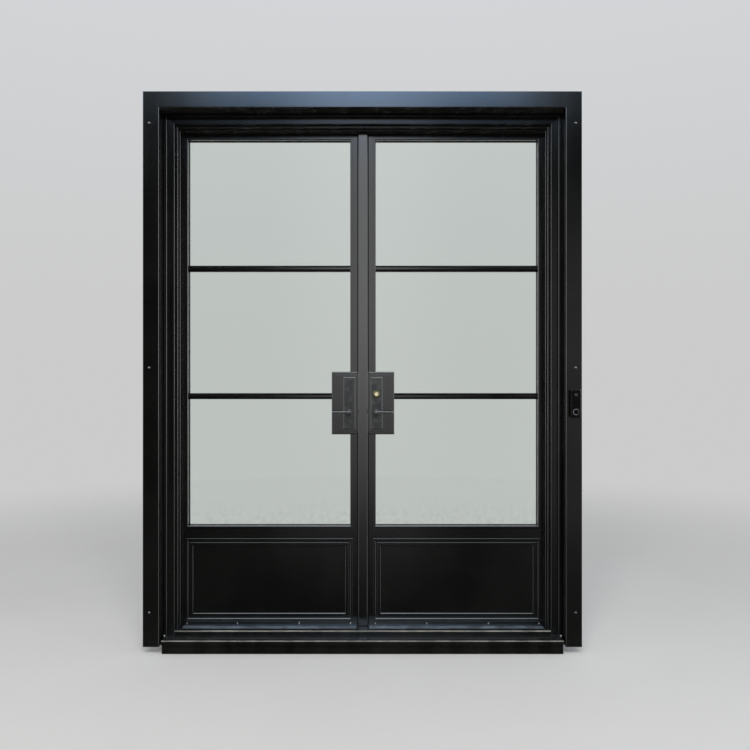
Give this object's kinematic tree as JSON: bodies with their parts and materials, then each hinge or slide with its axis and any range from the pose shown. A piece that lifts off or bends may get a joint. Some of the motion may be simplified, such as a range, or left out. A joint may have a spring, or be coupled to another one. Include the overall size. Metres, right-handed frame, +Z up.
{
  "type": "french doors",
  "caption": "In-swing steel double doors in a welded frame, with glazed lites over solid panels, levers, bolts, sill and doorbell.",
  "frame": {"origin": "under the middle of the sill, in the mid-plane of the shut leaves", "axes": "+X to the right seen from outside, +Y into the house, +Z up"},
  "size_m": [2.0452, 0.3072, 2.623],
  "materials": {
    "black_steel": "satin black paint",
    "handle_black": "satin black powder coat",
    "glass": "clear, slightly green",
    "seal": "matt",
    "spacer": "dark anodised",
    "bare_steel": "plain",
    "brass": "polished",
    "bell_plastic": "gloss",
    "bell_ring": "satin"
  },
  "bodies": {
    "frame": {"casing_left": "black_steel", "casing_right": "black_steel", "casing_head": "black_steel", "jamb_left": "black_steel", "jamb_right": "black_steel", "jamb_head": "black_steel", "sill": "black_steel", "frame_seals": "seal", "casing_screws": "bare_steel", "wall_lugs": "bare_steel", "frame_hinge_plates": "black_steel", "hinge_pins": "bare_steel", "bolt_keeps": "bare_steel", "doorbell_case": "bell_plastic", "doorbell_ring": "bell_ring"},
    "left_leaf": {"left_hinge_stile": "black_steel", "left_lock_stile": "black_steel", "left_top_rail": "black_steel", "left_mid_rail": "black_steel", "left_bottom_rail": "black_steel", "left_glass_panes": "glass", "left_glass_spacer": "spacer", "left_glazing_beads": "black_steel", "left_glazing_bars": "black_steel", "left_panel_sheets": "black_steel", "left_panel_mouldings": "black_steel", "left_lock_box": "black_steel", "left_lock_case": "bare_steel", "left_handle_plates": "handle_black", "left_hinge_plates": "black_steel", "left_drip_bar": "black_steel", "left_seals": "seal", "left_astragal": "black_steel"},
    "right_leaf": {"right_hinge_stile": "black_steel", "right_lock_stile": "black_steel", "right_top_rail": "black_steel", "right_mid_rail": "black_steel", "right_bottom_rail": "black_steel", "right_glass_panes": "glass", "right_glass_spacer": "spacer", "right_glazing_beads": "black_steel", "right_glazing_bars": "black_steel", "right_panel_sheets": "black_steel", "right_panel_mouldings": "black_steel", "right_lock_box": "black_steel", "right_lock_case": "bare_steel", "right_handle_plates": "handle_black", "right_hinge_plates": "black_steel", "right_drip_bar": "black_steel", "right_seals": "seal", "key_cylinder": "brass"},
    "left_lever": {"left_levers": "handle_black"},
    "right_lever": {"right_levers": "handle_black"},
    "latch_bolt": {"latch_bolt": "bare_steel"},
    "deadbolt": {"deadbolt": "bare_steel"},
    "thumb_turn": {"thumb_turn": "handle_black"},
    "shoot_bolt_top": {"shoot_bolt_top": "bare_steel"},
    "shoot_bolt_bottom": {"shoot_bolt_bottom": "bare_steel"},
    "doorbell_button": {"doorbell_button": "bell_plastic"}
  },
  "joints": [
    {"name": "left_leaf_swing", "type": "hinge", "parent": "frame", "child": "left_leaf", "pos_m": [-0.9155, 0.035, 1.3], "axis": [0, 0, 1], "range_deg": [0, 105]},
    {"name": "right_leaf_swing", "type": "hinge", "parent": "frame", "child": "right_leaf", "pos_m": [0.9155, 0.035, 1.3], "axis": [0, 0, -1], "range_deg": [0, 105]},
    {"name": "left_lever_turn", "type": "hinge", "parent": "left_leaf", "child": "left_lever", "pos_m": [-0.066, 0, 1.122], "axis": [0, -1, 0], "range_deg": [0, 45], "stiffness_Nm_per_rad": 1.5, "springref_deg": -45.84},
    {"name": "right_lever_turn", "type": "hinge", "parent": "right_leaf", "child": "right_lever", "pos_m": [0.066, 0, 1.122], "axis": [0, 1, 0], "range_deg": [0, 45], "stiffness_Nm_per_rad": 1.5, "springref_deg": -45.84},
    {"name": "latch_slide", "type": "slide", "parent": "right_leaf", "child": "latch_bolt", "axis": [1, 0, 0], "range_m": [0, 0.012]},
    {"name": "thumb_turn_turn", "type": "hinge", "parent": "right_leaf", "child": "thumb_turn", "pos_m": [0.066, 0.04, 1.209], "axis": [0, 1, 0], "range_deg": [0, 90]},
    {"name": "deadbolt_slide", "type": "slide", "parent": "right_leaf", "child": "deadbolt", "axis": [-1, 0, 0], "range_m": [0, 0.02]},
    {"name": "shoot_bolt_top_slide", "type": "slide", "parent": "left_leaf", "child": "shoot_bolt_top", "axis": [0, 0, -1], "range_m": [0, 0.018]},
    {"name": "shoot_bolt_bottom_slide", "type": "slide", "parent": "left_leaf", "child": "shoot_bolt_bottom", "axis": [0, 0, 1], "range_m": [0, 0.018]},
    {"name": "doorbell_press", "type": "slide", "parent": "frame", "child": "doorbell_button", "axis": [0, 1, 0], "range_m": [0, 0.0015], "stiffness_N_per_m": 400, "springref_m": -0.001}
  ],
  "couplings": [
    {"joint": "right_lever_turn", "follows": "latch_slide", "rad_per_m": 65.45},
    {"joint": "thumb_turn_turn", "follows": "deadbolt_slide", "rad_per_m": 78.54},
    {"joint": "left_lever_turn", "follows": "shoot_bolt_top_slide", "rad_per_m": 43.633},
    {"joint": "shoot_bolt_bottom_slide", "follows": "shoot_bolt_top_slide", "ratio": 1}
  ]
}
